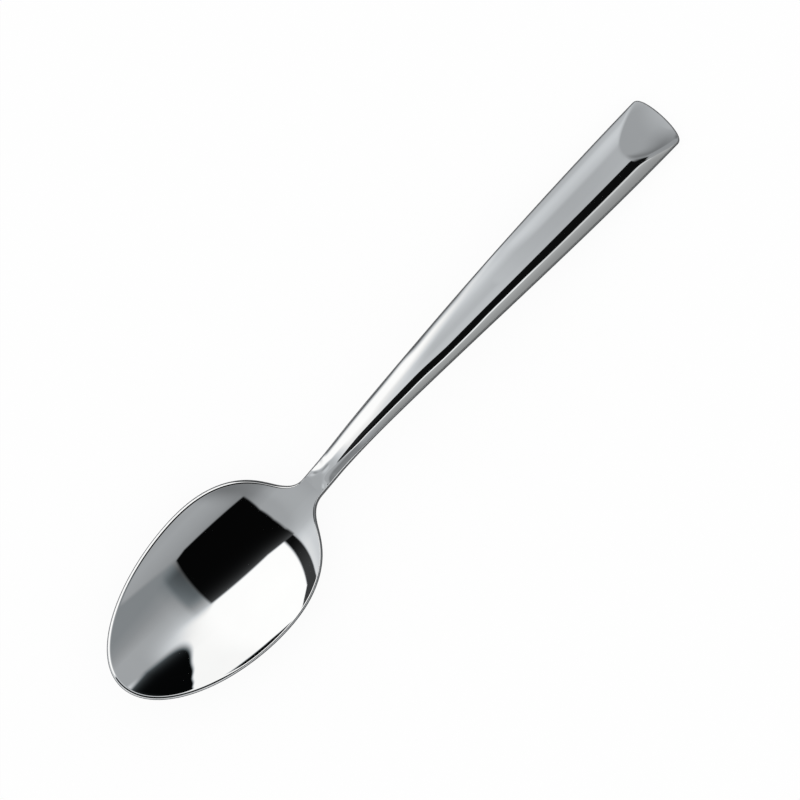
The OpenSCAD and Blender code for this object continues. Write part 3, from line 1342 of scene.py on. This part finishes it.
@dataclass(frozen=True)
class BlackStripe:
    """Narrow black flag along the handle, between the panel's end and the strip."""

    fan: FanShade = FanShade()
    black: float = 0.006
    back: float = 0.028
    back_lean: float = 0.26
    back_lean_from: float = -0.25
    back_step: float = 0.068
    back_step_at: Span = (0.05, 0.17)
    back_blur: Span = (0.006, -0.006)
    front: float = 0.287
    front_lean: float = 0.36
    front_lean_from: float = -0.285
    front_blur: Span = (-0.006, 0.006)
    start: Span = (-0.64, -0.57)
    dip: float = 0.02
    first_dip: tuple[Span, Span] = ((-0.2, -0.1), (0.05, 0.0))
    second_dip: tuple[Span, Span] = ((0.06, 0.13), (0.3, 0.22))
    last_dip: Span = (0.38, 0.46)
    haze: float = 0.02
    haze_across: Span = (0.1, -0.3)
    haze_back: Span = (-0.24, -0.15)

    def below(self, at: Heading) -> Value:
        """Reach past the stripe's front edge, which dips a little in three places.

        Args:
            at: Direction in the sky.

        Returns:
            The reach, negative in front of the stripe.
        """
        graph, across = at.graph, at.across
        dips = (graph.window(across, self.first_dip) + graph.window(across, self.second_dip)
                + graph.step(across, self.last_dip))
        lean = self.front_lean * graph.under(across, self.front_lean_from)
        return at.back - (-self.front + lean - self.dip * dips)

    def draw(self, at: Heading, level: Value, behind: Value) -> Value:
        """Add the stripe.

        Args:
            at: Direction in the sky.
            level: Level without the stripe.
            behind: Share that is behind the stripe's front edge.

        Returns:
            Level with the stripe.
        """
        graph, across, back = at.graph, at.across, at.back
        edge = (-self.back - self.back_lean * graph.under(across, self.back_lean_from)
                - self.back_step * graph.step(across, self.back_step_at))
        share = graph.step(back - edge, self.back_blur) * graph.step(across, self.start)
        haze = self.haze * graph.step(across, self.haze_across) * graph.step(back, self.haze_back)
        return graph.blend(level, self.black + haze, self.fan.draw(at, share) * behind)


@dataclass(frozen=True)
class DarkRim:
    """Dark surround that the handle's rounded edges mirror as thin lines."""

    dark: float = 0.08
    lean: float = 0.28
    lean_from: float = 0.53
    throat_lean: float = 0.2
    throat_at: Span = (-0.7, -0.9)
    near_lean: float = 0.075
    near_at: Span = (0.1, 0.02)
    far_lean: float = 0.06
    far_at: Span = (0.38, 0.43)
    middle_lean: float = 0.06
    middle_start: Span = (0.04, 0.12)
    middle_stop: Span = (0.36, 0.28)
    left: Span = (0.52, 0.80)
    right: Span = (-0.62, -0.95)
    right_at: Span = (-0.6, -0.4)
    end: Span = (0.85, 1.2)

    def draw(self, at: Heading, level: Value) -> Value:
        """Add the surround.

        Args:
            at: Direction in the sky.
            level: Level without the surround.

        Returns:
            Level with the surround.
        """
        graph, across, back = at.graph, at.across, at.back
        lean = (
            back - self.lean * graph.math("MAXIMUM", across + self.lean_from, 0.0)
            - self.throat_lean * graph.step(across, self.throat_at)
            - self.near_lean * graph.step(across, self.near_at)
            - self.far_lean * graph.step(across, self.far_at)
            + self.middle_lean * graph.step(across, self.middle_start)
            * graph.step(across, self.middle_stop))
        sides = (graph.step(lean, self.left)
                 + graph.step(back, self.right) * graph.step(across, self.right_at))
        rim = graph.math("MAXIMUM", sides, graph.step(across, self.end))
        return graph.blend(level, self.dark, graph.math("MINIMUM", rim, 1.0))


@dataclass(frozen=True)
class HandleSky(Sky):
    """What the neck and the handle mirror: the panel's end, a grey room and a narrow black flag."""

    panel_end: PanelEnd = PanelEnd()
    strip: GreyStrip = GreyStrip()
    stripe: BlackStripe = BlackStripe()
    rim: DarkRim = DarkRim()
    neck_slant: float = 0.125
    neck_slant_from: float = -0.05
    horizon: float = 0.6
    horizon_edge: Span = (2.3, 3.3)
    side_tint: Colour = (1.0, 0.985, 0.955)
    warm_back: Span = (-0.27, -0.31)
    warm_across: Span = (-0.2, 0.0)

    def side_share(self, at: Heading, level: Value) -> SocketValue:
        """Share of the warm tint, which the strip has."""
        return at.graph.step(at.back, self.warm_back) * at.graph.step(at.across, self.warm_across)

    def pattern(self, at: Heading) -> Value:
        """Level of the handle's sky in a direction.

        Args:
            at: Direction in the sky.

        Returns:
            The level.
        """
        graph, across = at.graph, at.across
        back = at.back - self.neck_slant * graph.under(across, self.neck_slant_from)
        at = Heading.over_plane(graph, across, back, at.up)
        below = self.stripe.below(at)
        behind = graph.step(below, self.stripe.front_blur)
        level = graph.blend(self.strip.level(at, below), self.panel_end.level(at), behind)
        level = self.strip.draw_low_line(at, self.stripe.draw(at, level, behind))
        level = self.rim.draw(at, level)
        low = graph.math("MAXIMUM", graph.math("ABSOLUTE", back), graph.math("ABSOLUTE", across))
        return graph.blend(level, self.horizon, graph.step(low, self.horizon_edge))


@dataclass(frozen=True)
class Studio:
    """Pale floor, white sweep and the soft panels that the steel mirrors, in metres."""

    form: SpoonForm = SpoonForm()
    floor_size: float = 6.0
    paper: Colour = (0.9, 0.9, 0.9)
    seen_glow: float = 0.93
    # Painted shade: level of the floor in the steel close to the spoon, far darker than the paper
    near_floor_painted_shade: float = 0.15
    far_floor: float = 1.2
    shaft_half: float = 0.004
    shoulder: Span = (-0.045, -0.02)
    white_away: Span = (0.04, 0.08)
    white_along: Span = (0.0, -0.02)
    bowl_sky_radius: float = 18.0

    def build(self, pieces: Mapping[str, bpy.types.Object]) -> None:
        """Make the floor, the world and the two skies that the pieces mirror.

        Args:
            pieces: The spoon's pieces by the node that each one replaces.
        """
        self.floor()
        self.world()
        BowlSky("bowl_sky", radius=self.bowl_sky_radius).build([pieces["bowl"]])
        HandleSky("handle_sky").build([pieces["neck"], pieces["handle"]])

    def floor(self) -> None:
        """Lay the floor that the spoon rests on."""
        maker = bmesh.new()
        bmesh.ops.create_grid(maker, x_segments=1, y_segments=1, size=self.floor_size / 2.0)
        sheet = add_object(maker, "floor", self.floor_material())

    def floor_material(self) -> bpy.types.Material:
        """Build the floor's material: bright paper to the camera, and in the steel a painted shade close to
        the spoon.

        Returns:
            The material.
        """
        material, graph = Graph.of_material("white_floor")
        paper = graph.node("ShaderNodeBsdfDiffuse", inputs={"Color": (*self.paper, 1.0)})
        glow = graph.node("ShaderNodeEmission", inputs={"Color": (*WHITE, 1.0), "Strength": 1.0})
        factor = self.seen_glow * graph.node("ShaderNodeLightPath", output=Ray.CAMERA.value)
        seen = graph.node("ShaderNodeMixShader", inputs={0: factor, 1: paper, 2: glow})
        # The steel sees its own level of the floor, with a painted shade close to the spoon
        level = self.mirrored_level_with_painted_shade(graph)
        spread = graph.node("ShaderNodeEmission", inputs={"Color": level, "Strength": 1.0})
        mirrored = graph.node("ShaderNodeLightPath", output=Ray.GLOSSY.value)
        surface = graph.node("ShaderNodeMixShader", inputs={0: mirrored, 1: seen, 2: spread})
        graph.node("ShaderNodeOutputMaterial", inputs={"Surface": surface})
        return material

    def mirrored_level_with_painted_shade(self, graph: Graph) -> Value:
        """Level of the floor in the steel: a painted shade close to the spoon and over the handle's half of
        the floor, white further out.

        Args:
            graph: Node tree of the floor's material.

        Returns:
            The level.
        """
        place = graph.node("ShaderNodeTexCoord", output="Object")
        along, left = (
            graph.node("ShaderNodeSeparateXYZ", inputs={0: place}, output=axis) for axis in "XY")
        bowl_half, half_length = self.form.bowl_width / 2.0 * MM, self.form.length / 2.0 * MM
        half = graph.blend(bowl_half, self.shaft_half, graph.step(along, self.shoulder))
        beside = graph.math("ABSOLUTE", left) - half
        away = graph.math("MAXIMUM", beside, graph.math("ABSOLUTE", along) - half_length)
        white = graph.step(away, self.white_away) * graph.step(along, self.white_along)
        # Painted shade near the spoon and on the handle's side, white where the mirrored floor lies further
        # out
        return graph.blend(self.near_floor_painted_shade, self.far_floor, white)

    def world(self) -> None:
        """Fill the world with even light, which the steel itself does not mirror."""
        world = bpy.data.worlds.new("studio")
        world.use_nodes = True
        bpy.context.scene.world = world
        graph = Graph(world.node_tree)
        mirrored = graph.node("ShaderNodeLightPath", output=Ray.GLOSSY.value)
        surface = graph.node("ShaderNodeBackground", inputs={
            "Color": (*WHITE, 1.0), "Strength": 1.0 - mirrored})
        graph.node("ShaderNodeOutputWorld", inputs={"Surface": surface})


@dataclass(frozen=True)
class PhotoCamera:
    """Long-lens camera high over the spoon, leaning a little to the spoon's right side."""

    aim: tuple[float, float, float] = (0.001, -0.00117, 0.007)
    distance: float = 0.9
    azimuth: float = 0.0
    elevation: float = 83.5
    spoon_angle: float = 46.957
    focal: float = 177.11
    sensor: float = 36.0
    near_clip: float = 0.01

    def build(self) -> bpy.types.Object:
        """Place the camera and make it the scene's own.

        Returns:
            The camera object.
        """
        azimuth, elevation = math.radians(self.azimuth), math.radians(self.elevation)
        away = Vector((
            math.sin(azimuth) * math.cos(elevation),
            -math.cos(azimuth) * math.cos(elevation),
            math.sin(elevation),
        ))
        flat_x = Vector((1.0, 0.0, 0.0)) - away * away.x
        flat_x.normalize()
        flat_y = away.cross(flat_x)
        turn = math.radians(self.spoon_angle)
        right = flat_x * math.cos(turn) - flat_y * math.sin(turn)
        up = flat_x * math.sin(turn) + flat_y * math.cos(turn)
        lens = bpy.data.cameras.new("photo_camera")
        lens.lens = self.focal
        lens.sensor_width = self.sensor
        lens.clip_start = self.near_clip
        camera = bpy.data.objects.new("photo_camera", lens)
        bpy.context.scene.collection.objects.link(camera)
        facing = Matrix((right, up, away)).transposed().to_4x4()
        camera.matrix_world = Matrix.Translation(Vector(self.aim) + away * self.distance) @ facing
        bpy.context.scene.camera = camera
        return camera


def main() -> None:
    """Build the camera, the spoon and the studio in order."""
    logging.basicConfig(level=logging.INFO, format="%(name)s: %(message)s")
    bpy.context.scene.view_settings.view_transform = "Standard"
    PhotoCamera().build()
    pieces = Spoon().build()
    Studio().build(pieces)


if __name__ == "__main__":
    main()
